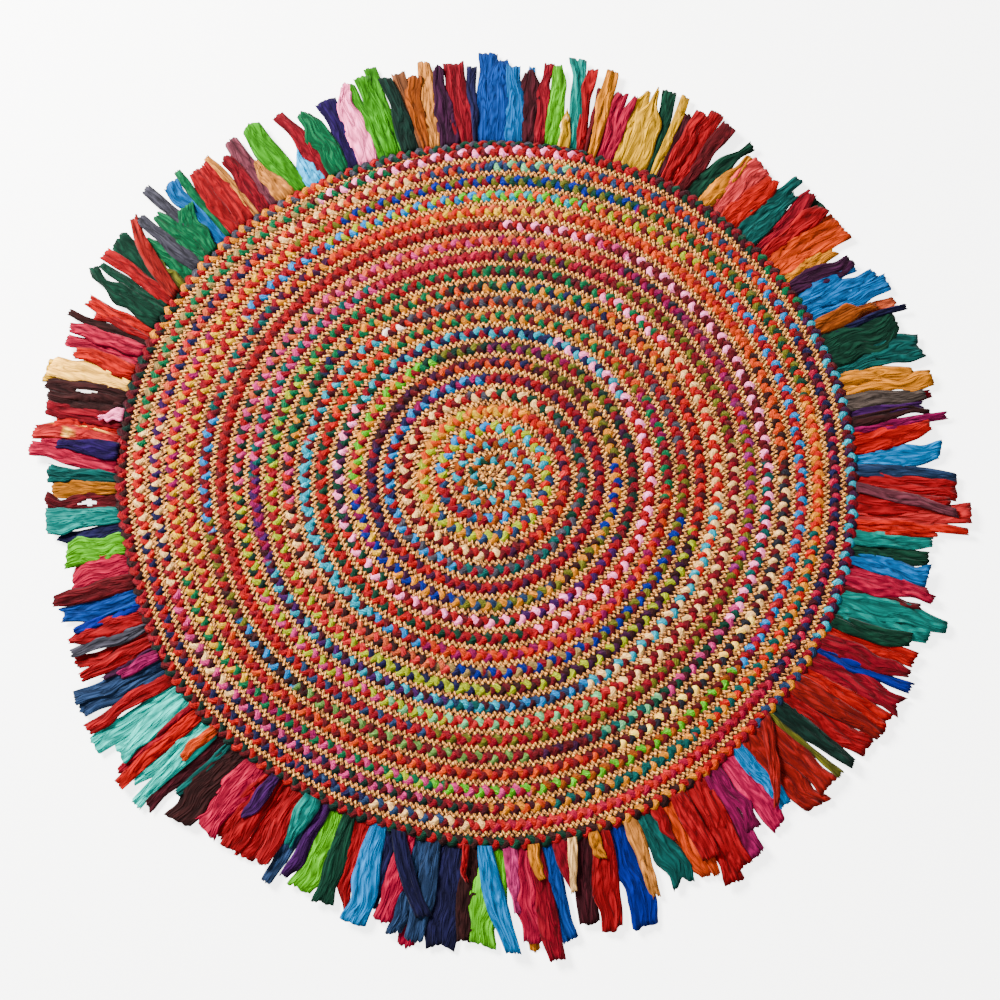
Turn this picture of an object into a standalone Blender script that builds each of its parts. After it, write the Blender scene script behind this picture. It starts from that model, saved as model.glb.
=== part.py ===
"""Round braided rug with a rag fringe, laid flat on its underside.

A wide braid of cotton rags and a narrow braid of jute are sewn side by side in one double spiral,
which winds outward clockwise seen from above. Rag strips are sewn to the edge all round.
Sizes are in millimetres and become metres with MM. Clock angles are in degrees clockwise from +Y.
"""

import math
from collections import namedtuple

import bmesh
import bpy

MM = 0.001

# Driving dimensions
PITCH = 21.7  # outward step of the double spiral in one turn
SEAM = 0.4  # parting between neighbours
JUTE_WIDTH = 9.2
JUTE_HEIGHT = 8.0
COTTON_WIDTH = PITCH - JUTE_WIDTH - 2 * SEAM
COTTON_HEIGHT = 9.0
JUTE_RADIUS = 15.0  # middle of the jute where it first passes 12 o'clock
BACKING_WIDTH = 5.0  # narrow band that the fringe strips are sewn to
BACKING_PARTING = 0.65  # at its corners; its chords come closer to the cotton
STRIP_HEIGHT = 3.0  # a crumpled rag strip at its root
TIP_HEIGHT = 1.6
BACKING_REACH = 1.7  # degrees either side in which the backing clears the cotton's edge
STRIP_PARTING = 0.16  # degrees that a strip draws in on each side, halfway out
SHARP_ANGLE = 50  # degrees; a corner that turns less is shaded soft

# Turns are counted from the first pass of 12 o'clock. The jute starts in the middle of the rug.
# All stations lie on one clock grid, so that neighbours keep their parting along each chord.
INNER_STATIONS = 18  # a turn; fewer in the middle, where a turn is short
OUTER_STATIONS = 36
OUTER_BAND = 7  # the turn from which the finer grid holds
SHORTEST_STEP = 0.004  # turns; a last step shorter than this is left out
HAIR = 1e-6  # turns; rounding
JUTE_START = -12 / INNER_STATIONS
COTTON_START = -11 / INNER_STATIONS
JUTE_THINS = 20.86
JUTE_END = 21 - 1 / OUTER_STATIONS
COTTON_THINS = 20.95
COTTON_END = 21.045
COTTON_END_SHARE = 0.25  # of the full width, where the cotton braid runs out
THIN_JUTE_SHARE = 0.2

# The rows wander from a true spiral, more towards the rim: millimetres outward at RIM_RADIUS,
# every 15 degrees of the clock.
RIM_RADIUS = 475.0
DRIFT_POWER = 3
RIM_DRIFT = (
    4.5, 10.5, 15.5, 12.5, 11, 8, 2, -1, -6, -13, -11, -9.5,
    -11, -17, -17, -10, -4.5, -9.5, 0, 5.5, 5.5, 3, -3, -2.5,
)  # fmt: skip

# The middle rows wander as well, every 30 degrees of the clock, and the first rows lie closer in.
MIDDLE_DRIFT = (-1.5, 1, 1, 2, 0, 1, 3, 2, 4, 2, -0.5, -1.5)
MIDDLE_FULL = (60.0, 260.0)  # radii between which the middle's drift is whole
TIGHT_SWELL = -4.0
TIGHT_FADE = (50.0, 105.0)  # radii between which the first rows' tightness fades out

# Cross-sections: (place across the width from -1 inside to 1 outside, share of the height)
COTTON_SECTION = ((-0.7, 0), (-1, 0.45), (-0.55, 1), (0.55, 1), (1, 0.45), (0.7, 0))
JUTE_OUTER_SIDE = ((0.6, 1), (1, 0))
JUTE_SECTION = ((-1, 0), (-0.6, 1), *JUTE_OUTER_SIDE)

# The fringe, clockwise from 12 o'clock. A strip's root starts where the last one's ends.
# The root and the tip are clock angles, and the reach is the tip's distance from the rug's middle.
Strip = namedtuple("Strip", "root_to tip_from tip_to reach")
FIRST_ROOT = 0.1
FRINGE = [
    Strip(*row)
    for row in (
        (2.7, 0.5, 2.2, 609),
        (5.1, 2.6, 4.1, 598),
        (7.2, 4.3, 6.1, 594),
        (8.7, 7.0, 8.2, 606),
        (11.1, 8.6, 9.8, 607),
        (12.8, 11.2, 11.8, 541),
        (14.3, 10.7, 12.6, 620),
        (15.4, 12.9, 14.0, 608),
        (16.3, 14.4, 15.2, 582),
        (17.4, 15.5, 17.2, 612),
        (19.2, 17.6, 19.2, 585),
        (20.3, 19.5, 20.5, 584),
        (22.3, 20.9, 22.1, 600),
        (25.6, 22.3, 23.4, 611),
        (27.1, 23.7, 25.4, 612),
        (27.9, 26.1, 27.1, 611),
        (28.9, 27.3, 28.3, 590),
        (30.3, 28.5, 30.3, 601),
        (32.0, 30.6, 32.4, 611),
        (33.3, 32.6, 34.6, 604),
        (36.1, 36.8, 37.4, 597),
        (38.1, 37.8, 38.7, 578),
        (40.7, 38.9, 41.4, 583),
        (43.3, 41.6, 43.8, 575),
        (45.6, 44.3, 45.6, 598),
        (47.7, 45.8, 46.9, 579),
        (49.4, 47.2, 49.0, 598),
        (50.9, 49.2, 51.2, 592),
        (52.9, 51.5, 53.2, 594),
        (54.7, 53.3, 54.8, 594),
        (56.2, 55.0, 56.8, 566),
        (58.1, 56.9, 58.9, 573),
        (59.9, 59.0, 60.2, 572),
        (61.8, 60.4, 61.9, 592),
        (63.8, 62.1, 64.3, 602),
        (65.9, 64.5, 65.4, 570),
        (66.6, 66.8, 67.4, 603),
        (71.4, 68.0, 70.6, 582),
        (73.3, 70.9, 73.9, 601),
        (75.1, 74.7, 76.1, 577),
        (76.9, 76.4, 78.2, 598),
        (79.2, 78.4, 79.5, 583),
        (80.6, 79.7, 80.6, 577),
        (82.1, 80.8, 81.4, 583),
        (83.3, 81.5, 82.3, 605),
        (86.3, 82.6, 84.0, 580),
        (88.3, 86.0, 88.3, 590),
        (89.8, 89.8, 90.6, 603),
        (92.5, 90.8, 92.7, 603),
        (95.7, 92.9, 93.6, 593),
        (97.0, 93.8, 96.1, 620),
        (97.8, 96.3, 97.0, 618),
        (98.8, 97.2, 98.2, 578),
        (100.8, 98.4, 99.8, 573),
        (102.8, 100.3, 101.9, 570),
        (104.0, 102.4, 104.6, 574),
        (105.6, 104.9, 106.0, 578),
        (107.4, 106.1, 107.0, 586),
        (108.7, 107.2, 107.8, 572),
        (111.0, 108.0, 109.9, 608),
        (112.7, 110.2, 111.4, 591),
        (114.4, 111.6, 112.9, 570),
        (116.2, 113.2, 115.2, 585),
        (118.3, 115.5, 117.0, 584),
        (119.2, 117.2, 118.5, 593),
        (122.0, 118.8, 120.6, 593),
        (123.7, 121.8, 123.4, 588),
        (126.4, 123.8, 125.2, 588),
        (128.8, 125.5, 128.5, 583),
        (130.9, 128.8, 130.1, 579),
        (132.1, 131.2, 132.1, 575),
        (134.2, 132.3, 134.9, 573),
        (137.9, 135.2, 137.9, 584),
        (139.7, 138.2, 140.0, 553),
        (142.7, 140.3, 142.2, 568),
        (144.2, 142.4, 144.4, 551),
        (145.6, 144.9, 146.4, 576),
        (147.4, 146.6, 148.5, 579),
        (149.6, 148.7, 150.6, 591),
        (151.4, 150.8, 151.6, 570),
        (153.6, 151.9, 153.4, 566),
        (155.0, 153.7, 154.2, 512),
        (157.6, 153.9, 156.7, 564),
        (159.4, 158.6, 159.4, 563),
        (162.0, 159.6, 162.4, 590),
        (164.4, 164.6, 166.8, 584),
        (167.7, 167.1, 169.0, 570),
        (170.3, 168.9, 169.5, 528),
        (172.4, 169.4, 171.1, 585),
        (174.2, 171.3, 173.0, 602),
        (176.1, 173.2, 176.0, 580),
        (177.9, 176.2, 176.9, 544),
        (179.9, 176.6, 178.3, 590),
        (181.6, 179.6, 181.6, 588),
        (183.6, 182.3, 183.9, 577),
        (187.3, 184.2, 187.4, 588),
        (189.1, 188.1, 190.0, 583),
        (191.3, 190.5, 192.0, 580),
        (192.9, 192.2, 194.2, 569),
        (195.9, 194.3, 194.8, 556),
        (197.9, 195.0, 197.5, 578),
        (200.8, 197.8, 199.0, 570),
        (202.5, 199.3, 201.5, 570),
        (204.9, 201.8, 204.9, 564),
        (206.2, 205.1, 206.6, 560),
        (208.9, 207.1, 208.3, 575),
        (210.9, 208.5, 210.0, 560),
        (212.7, 210.2, 212.5, 566),
        (214.7, 212.8, 215.0, 566),
        (216.2, 215.2, 216.4, 561),
        (219.3, 217.1, 219.4, 567),
        (222.6, 219.7, 222.8, 583),
        (223.4, 223.1, 223.8, 555),
        (225.3, 224.4, 225.8, 594),
        (227.1, 226.0, 227.2, 600),
        (228.8, 227.4, 228.5, 585),
        (230.6, 228.7, 229.7, 600),
        (232.0, 229.9, 230.6, 592),
        (233.8, 230.9, 233.0, 578),
        (235.8, 233.6, 235.9, 598),
        (237.7, 236.2, 237.6, 595),
        (239.0, 237.9, 239.6, 592),
        (240.7, 239.9, 241.5, 592),
        (242.2, 241.5, 242.1, 550),
        (243.8, 242.4, 243.7, 573),
        (244.9, 243.9, 245.2, 573),
        (246.0, 245.6, 246.7, 573),
        (248.3, 247.0, 248.3, 571),
        (249.5, 248.5, 249.5, 562),
        (251.8, 249.8, 251.9, 573),
        (254.0, 252.3, 254.0, 578),
        (257.8, 254.2, 256.9, 553),
        (260.8, 257.4, 260.3, 555),
        (262.7, 260.5, 261.5, 561),
        (264.8, 261.9, 265.1, 573),
        (267.3, 265.6, 267.1, 575),
        (268.8, 267.4, 269.5, 566),
        (270.6, 269.7, 271.3, 573),
        (272.4, 272.8, 274.3, 600),
        (274.9, 274.2, 274.8, 560),
        (276.4, 275.0, 276.5, 599),
        (277.7, 276.8, 278.1, 575),
        (279.7, 278.4, 279.8, 591),
        (281.5, 280.0, 281.4, 592),
        (283.4, 281.7, 283.2, 600),
        (285.7, 283.5, 286.0, 603),
        (287.7, 286.4, 287.7, 576),
        (289.6, 287.9, 289.4, 594),
        (291.5, 289.6, 291.0, 598),
        (292.3, 291.3, 292.1, 607),
        (293.1, 292.4, 293.3, 573),
        (294.6, 293.6, 295.2, 592),
        (297.6, 297.4, 298.7, 611),
        (298.9, 299.0, 299.9, 603),
        (300.4, 300.4, 301.7, 607),
        (302.1, 302.2, 304.6, 605),
        (303.4, 303.4, 304.0, 542),
        (305.8, 304.9, 306.0, 577),
        (307.8, 306.5, 308.1, 601),
        (310.2, 308.4, 309.8, 588),
        (311.4, 310.1, 311.2, 625),
        (313.3, 312.3, 314.4, 605),
        (313.9, 314.6, 315.5, 611),
        (316.3, 315.8, 317.3, 596),
        (318.8, 317.5, 318.9, 595),
        (319.8, 319.1, 319.9, 600),
        (321.7, 320.2, 322.0, 585),
        (323.5, 322.2, 323.6, 603),
        (326.2, 324.0, 325.0, 556),
        (328.8, 324.7, 327.1, 607),
        (331.4, 329.6, 330.3, 538),
        (333.1, 329.8, 331.1, 600),
        (336.0, 332.8, 335.2, 588),
        (338.0, 335.9, 337.8, 590),
        (340.8, 339.0, 340.1, 605),
        (342.7, 340.5, 341.4, 600),
        (344.7, 341.7, 343.0, 606),
        (345.5, 343.4, 345.0, 618),
        (347.9, 345.4, 346.3, 597),
        (348.7, 346.6, 348.1, 600),
        (349.9, 348.4, 350.2, 592),
        (351.9, 350.6, 352.0, 612),
        (354.6, 352.2, 353.5, 602),
        (357.2, 353.8, 356.0, 607),
        (357.8, 356.9, 358.1, 597),
        (360.1, 358.4, 360.3, 618),
    )
]


def remove_everything():
    for ob in list(bpy.data.objects):
        bpy.data.objects.remove(ob, do_unlink=True)


def cloth_material(name, colour, roughness):
    material = bpy.data.materials.new(name)
    material.use_nodes = True
    shader = material.node_tree.nodes["Principled BSDF"]
    shader.inputs["Base Color"].default_value = (*colour, 1.0)
    shader.inputs["Roughness"].default_value = roughness
    shader.inputs["Metallic"].default_value = 0.0
    return material


def finish_object(name, bm, material):
    """Turns the bmesh into a named object with one material and softly shaded rounds."""
    bmesh.ops.recalc_face_normals(bm, faces=bm.faces)
    mesh = bpy.data.meshes.new(name)
    bm.to_mesh(mesh)
    bm.free()
    mesh.shade_smooth()
    mesh.set_sharp_from_angle(angle=math.radians(SHARP_ANGLE))
    mesh.materials.append(material)
    ob = bpy.data.objects.new(name, mesh)
    bpy.context.scene.collection.objects.link(ob)
    return ob


def blend(start, end, share):
    return start + (end - start) * share


def within(value, low, high):
    """How far the value is from low to high, held between 0 and 1."""
    return min(max((value - low) / (high - low), 0.0), 1.0)


def fade(turns, start, end, final):
    """1 up to start, then evenly down to final at end."""
    return blend(1.0, final, within(turns, start, end))


def closed_curve(values, clock):
    """A smooth curve through values that are spaced evenly round the clock."""
    count = len(values)
    place = clock / 360 * count
    i = math.floor(place)
    t = place - i
    before, here, after, beyond = (values[(i + k) % count] for k in (-1, 0, 1, 2))
    slope_here = (after - before) / 2
    slope_after = (beyond - here) / 2
    rise = after - here
    return (
        here
        + slope_here * t
        + (3 * rise - 2 * slope_here - slope_after) * t**2
        + (slope_here + slope_after - 2 * rise) * t**3
    )


def spiral_radius(turns, offset):
    """Distance from the middle of a line that passes 12 o'clock first at the radius offset."""
    radius = max(PITCH * turns + offset, 0.0)
    clock = turns * 360
    at_rim = closed_curve(RIM_DRIFT, clock) * (radius / RIM_RADIUS) ** DRIFT_POWER
    swell = blend(TIGHT_SWELL, 0.0, within(radius, *TIGHT_FADE))
    share = within(radius, 0.0, MIDDLE_FULL[0]) * within(radius, RIM_RADIUS, MIDDLE_FULL[1])
    return radius + at_rim + share * (swell + closed_curve(MIDDLE_DRIFT, clock))


def jute_edges(turns):
    """Offsets of the jute's inner and outer edges; it thins out where it ends."""
    inner = JUTE_RADIUS - JUTE_WIDTH / 2
    return inner, inner + JUTE_WIDTH * fade(turns, JUTE_THINS, JUTE_END, THIN_JUTE_SHARE)


def cotton_edges(turns):
    """Offsets of the cotton's edges; near the end it moves in where the jute thins, and thins too."""
    inner = jute_edges(turns)[1] + SEAM
    if turns > JUTE_END:
        inner = jute_edges(turns)[0] + SEAM
    return inner, inner + COTTON_WIDTH * fade(turns, COTTON_THINS, COTTON_END, COTTON_END_SHARE)


def stations(start, end):
    """Places along the spiral, in turns: on a clock grid, with the two ends added."""
    places = [start]
    turn = math.ceil(start * INNER_STATIONS) / INNER_STATIONS
    while turn < end:
        if turn - places[-1] > HAIR:
            places.append(turn)
        step = 1 / (INNER_STATIONS if turn < OUTER_BAND - HAIR else OUTER_STATIONS)
        turn = round(turn / step + 1) * step
    if end - places[-1] < SHORTEST_STEP:
        places.pop()
    return [*places, end]


def on_plan(clock, radius, height):
    angle = math.radians(clock)
    return (radius * math.sin(angle) * MM, radius * math.cos(angle) * MM, height * MM)


def section_points(turns, edges, section, height):
    inner, outer = (spiral_radius(turns, offset) for offset in edges(turns))
    return [
        on_plan(turns * 360, blend(inner, outer, (across + 1) / 2), up * height)
        for across, up in section
    ]


def extrude_along(bm, face, turns_list, edges, section, height):
    """Extrudes an end face from station to station; its corners keep the section's order."""
    for turns in turns_list:
        face = bmesh.ops.extrude_discrete_faces(bm, faces=[face])["faces"][0]
        for corner, point in zip(face.verts, section_points(turns, edges, section, height)):
            corner.co = point


def cotton_braid():
    bm = bmesh.new()
    start, *others = stations(COTTON_START, COTTON_END)
    points = section_points(start, cotton_edges, COTTON_SECTION, COTTON_HEIGHT)
    corners = [bm.verts.new(point) for point in points]
    extrude_along(bm, bm.faces.new(corners), others, cotton_edges, COTTON_SECTION, COTTON_HEIGHT)
    bm.faces.new(corners)
    return finish_object("cotton_braid", bm, cloth_material("cotton_rags", (0.55, 0.05, 0.04), 0.9))


def jute_braid():
    """The first turn is a solid disc with a spiral rim; the row is drawn out from where it closes."""
    bm = bmesh.new()
    turn_places = [JUTE_START + k / INNER_STATIONS for k in range(INNER_STATIONS)]
    low = []
    high = []
    for turns in turn_places:
        crown, foot = section_points(turns, jute_edges, JUTE_OUTER_SIDE, JUTE_HEIGHT)
        low.append(bm.verts.new(foot))
        high.append(bm.verts.new(crown))
    bm.faces.new(low)
    bm.faces.new(high)
    for k in range(INNER_STATIONS - 1):
        bm.faces.new((low[k], low[k + 1], high[k + 1], high[k]))
    # The mouth of the disc, between its last and first corners, carries on as the wound row.
    mouth = bm.faces.new((low[0], high[0], high[-1], low[-1]))
    places = stations(JUTE_START + 1, JUTE_END)
    extrude_along(bm, mouth, places, jute_edges, JUTE_SECTION, JUTE_HEIGHT)
    return finish_object("jute_braid", bm, cloth_material("jute", (0.58, 0.38, 0.20), 0.92))


def field_edge(clock):
    """Radius of the outermost cotton edge at a clock angle."""
    turns = clock / 360
    last = turns + math.floor(COTTON_END - turns)
    return spiral_radius(last, cotton_edges(last)[1])


def backing_radius(clock):
    """Just outside the cotton's edge, also past the step where the cotton ends."""
    sides = (-1, -0.5, 0, 0.5, 1)
    return BACKING_PARTING + max(field_edge(clock + side * BACKING_REACH) for side in sides)


def rag_fringe():
    """A narrow ring round the cotton, with each strip drawn out of its own face of the ring."""
    bm = bmesh.new()
    roots = [FIRST_ROOT] + [strip.root_to for strip in FRINGE[:-1]]
    loops = []
    for outward, up in ((0, 0), (0, STRIP_HEIGHT), (BACKING_WIDTH, STRIP_HEIGHT), (BACKING_WIDTH, 0)):
        points = (on_plan(clock, backing_radius(clock) + outward, up) for clock in roots)
        loops.append([bm.verts.new(point) for point in points])
    count = len(FRINGE)
    outer_faces = []
    for side, (loop, neighbour) in enumerate(zip(loops, loops[1:] + loops[:1])):
        for k in range(count):
            after = (k + 1) % count
            face = bm.faces.new((loop[k], neighbour[k], neighbour[after], loop[after]))
            if side == 2:
                outer_faces.append(face)
    for k, face in enumerate(outer_faces):
        draw_out_strip(bm, face, roots[k], FRINGE[k])
    return finish_object("rag_fringe", bm, cloth_material("cotton_strips", (0.62, 0.06, 0.06), 0.85))


def draw_out_strip(bm, face, root_from, strip):
    """Two extrusions: to a mid-section that draws in a little, then to the flat tip."""
    root_radius = backing_radius((root_from + strip.root_to) / 2) + BACKING_WIDTH
    middle = (
        blend(root_from, strip.tip_from, 0.5) + STRIP_PARTING,
        blend(strip.root_to, strip.tip_to, 0.5) - STRIP_PARTING,
        blend(root_radius, strip.reach, 0.5),
        STRIP_HEIGHT,
    )
    tip = (strip.tip_from, strip.tip_to, strip.reach, TIP_HEIGHT)
    for clock_from, clock_to, radius, height in (middle, tip):
        face = bmesh.ops.extrude_discrete_faces(bm, faces=[face])["faces"][0]
        corners = ((clock_from, height), (clock_from, 0), (clock_to, 0), (clock_to, height))
        for corner, (clock, up) in zip(face.verts, corners):
            corner.co = on_plan(clock, radius, up)


def build():
    remove_everything()
    rug = bpy.data.objects.new("braided_rug", None)
    bpy.context.scene.collection.objects.link(rug)
    for piece in (cotton_braid(), jute_braid(), rag_fringe()):
        piece.parent = rug


build()
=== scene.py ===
"""Round braided rug of cotton rags and jute, with a fringe of crumpled rag strips, on a pale floor.

The braids are wound in one double spiral, clockwise outward seen from above. Sizes are in
millimetres and become metres with MM. Clock angles are in degrees clockwise from +Y, and turns
are counted from the first pass of 12 o'clock, as in the part's own source.
"""

import math
from collections import namedtuple

import bmesh
import bpy
import numpy as np
from mathutils import Matrix, Vector

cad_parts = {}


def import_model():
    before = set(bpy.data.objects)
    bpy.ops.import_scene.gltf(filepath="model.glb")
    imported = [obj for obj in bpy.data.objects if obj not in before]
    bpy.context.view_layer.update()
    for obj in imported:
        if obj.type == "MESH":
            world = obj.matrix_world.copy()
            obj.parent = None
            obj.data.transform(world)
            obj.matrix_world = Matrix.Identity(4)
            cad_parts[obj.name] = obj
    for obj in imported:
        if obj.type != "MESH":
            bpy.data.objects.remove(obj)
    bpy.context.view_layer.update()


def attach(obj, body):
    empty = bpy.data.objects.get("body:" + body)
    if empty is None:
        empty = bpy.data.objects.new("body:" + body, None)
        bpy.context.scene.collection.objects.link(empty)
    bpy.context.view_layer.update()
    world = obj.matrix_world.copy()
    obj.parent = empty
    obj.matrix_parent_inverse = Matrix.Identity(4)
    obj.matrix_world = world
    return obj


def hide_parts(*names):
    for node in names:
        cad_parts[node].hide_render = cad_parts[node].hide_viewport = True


MM = 0.001

# ---------------------------------------------------------------- sizes shared with the part
PITCH = 21.7
SEAM = 0.4
JUTE_WIDTH = 9.2
JUTE_HEIGHT = 8.0
COTTON_WIDTH = PITCH - JUTE_WIDTH - 2 * SEAM
COTTON_HEIGHT = 9.0
JUTE_RADIUS = 15.0
COTTON_START = -11 / 18
JUTE_THINS = 20.86
JUTE_END = 21 - 1 / 36
COTTON_THINS = 20.95
COTTON_END = 21.045
COTTON_END_SHARE = 0.25
THIN_JUTE_SHARE = 0.2
# How far the rows wander from a true spiral, in millimetres outward at equal steps of the clock.
# The two tables aren't chosen by hand: a program fitted them to the photo's rows, and they were
# rounded to half a millimetre.
RIM_RADIUS = 475.0
DRIFT_POWER = 3
RIM_DRIFT = (
    4.5, 10.5, 15.5, 12.5, 11, 8, 2, -1, -6, -13, -11, -9.5,
    -11, -17, -17, -10, -4.5, -9.5, 0, 5.5, 5.5, 3, -3, -2.5,
)  # fmt: skip
MIDDLE_DRIFT = (-1.5, 1, 1, 2, 0, 1, 3, 2, 4, 2, -0.5, -1.5)
MIDDLE_FULL = (60.0, 260.0)
TIGHT_SWELL = -4.0
TIGHT_FADE = (50.0, 105.0)

# ---------------------------------------------------------------- the loose first turns
PRESS = 0.9  # how far a braid swells against its neighbours
COIL_START = -2.0
COIL_MIDDLE = (-4.0, 3.7)
COIL_LEAVES = (-0.3, 0.25)  # the turns in which the jute leaves the coil and joins the spiral
# Each pair holds the turns first, and then the values there: the coil's radius, how far a row
# is shifted outwards, and its width as a share of what it is further out.
COIL_RADIUS = (
    (-2.0, -1.3, -0.75, -0.65, -0.5, 0.25),
    (2.2, 3.2, 9.8, 11.2, 10.2, 10.8),
)
JUTE_FIRST_SHIFT = (
    (0.12, 0.25, 0.5, 0.75, 1.0, 1.25),
    (-2, -3, -1.2, 0, -1, 0),
)
JUTE_FIRST_SHARE = (
    (0.0, 0.12, 0.38, 0.5, 0.7, 1.0, 1.25, 2.0, 3.0),
    (1.0, 1.7, 1.75, 1.35, 1.1, 1.3, 1.15, 1.05, 1),
)
COTTON_FIRST_SHIFT = (
    (-0.6, -0.25, -0.15, 0.0, 0.06, 0.2, 0.33, 0.6),
    (-2, 2.5, 3, -2, -2, 0.5, -1.5, 0),
)
COTTON_FIRST_SHARE = ((-0.6, -0.3, 0.1), (0.85, 0.88, 1))

# ---------------------------------------------------------------- light and tones
LIGHT_LEVEL = 4.4  # brightness of a white surface that faces up
FLOOR_GLOW = 3.35  # lifts the pale floor to near white
# The render's film-like tones turn bright dyes darker and greyer; cloth_colour undoes that, with
# constants that a program fitted to a rendered chart of colours.
GREY_WEIGHTS = (0.16, 0.385, 0.455)
GREY_SHARE_SEEN = 0.62
GREY_SHARE_LIT = 0.70
TONE_GAIN = 0.467
TONE_TOE = 0.704
TONE_SHOULDER = 0.86
# The jute's tones: the pale one on top is a painted highlight, the dark one in the gaps painted
# shade.
JUTE_TONES = ((255, 232, 208), (162, 98, 86), (20, 13, 10))  # on top, lower down, in the gaps

# ---------------------------------------------------------------- dyes, as they look in daylight
DYES = {
    "red": (206, 26, 38),
    "scarlet": (238, 26, 28),
    "vermilion": (248, 64, 22),
    "crimson": (180, 12, 40),
    "wine": (122, 14, 26),
    "maroon": (78, 16, 28),
    "brick": (192, 34, 32),
    "sable": (58, 22, 22),
    "rose": (226, 0, 88),
    "fuchsia": (238, 28, 120),
    "pink": (238, 122, 172),
    "blush": (252, 220, 232),
    "coral": (242, 80, 84),
    "salmon": (244, 136, 104),
    "melon": (255, 120, 124),
    "peach": (240, 184, 130),
    "magenta": (180, 24, 104),
    "orchid": (190, 84, 156),
    "mauve": (150, 74, 90),
    "orange": (255, 112, 10),
    "rust": (196, 98, 36),
    "ochre": (226, 150, 22),
    "gold": (255, 188, 0),
    "yellow": (255, 222, 60),
    "butter": (250, 216, 104),
    "straw": (246, 228, 204),
    "cream": (255, 238, 210),
    "white": (246, 240, 238),
    "lime": (148, 226, 62),
    "leaf": (98, 194, 44),
    "citron": (212, 220, 44),
    "olive": (140, 138, 50),
    "green": (30, 136, 84),
    "forest": (16, 74, 52),
    "pine": (16, 48, 38),
    "teal": (18, 112, 106),
    "jade": (26, 178, 168),
    "mint": (176, 220, 186),
    "sage": (150, 190, 116),
    "ice": (172, 228, 222),
    "turquoise": (14, 180, 172),
    "aqua": (92, 206, 218),
    "cyan": (30, 232, 248),
    "sky": (0, 190, 228),
    "azure": (14, 160, 212),
    "cobalt": (18, 108, 188),
    "steel": (58, 84, 128),
    "royal": (40, 74, 180),
    "navy": (34, 32, 82),
    "indigo": (46, 18, 98),
    "purple": (86, 30, 110),
    "plum": (72, 22, 62),
    "slate": (98, 96, 110),
    "charcoal": (44, 44, 54),
    "taupe": (112, 96, 88),
    "tan": (206, 178, 128),
    "brown": (166, 102, 66),
}  # fmt: skip

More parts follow.
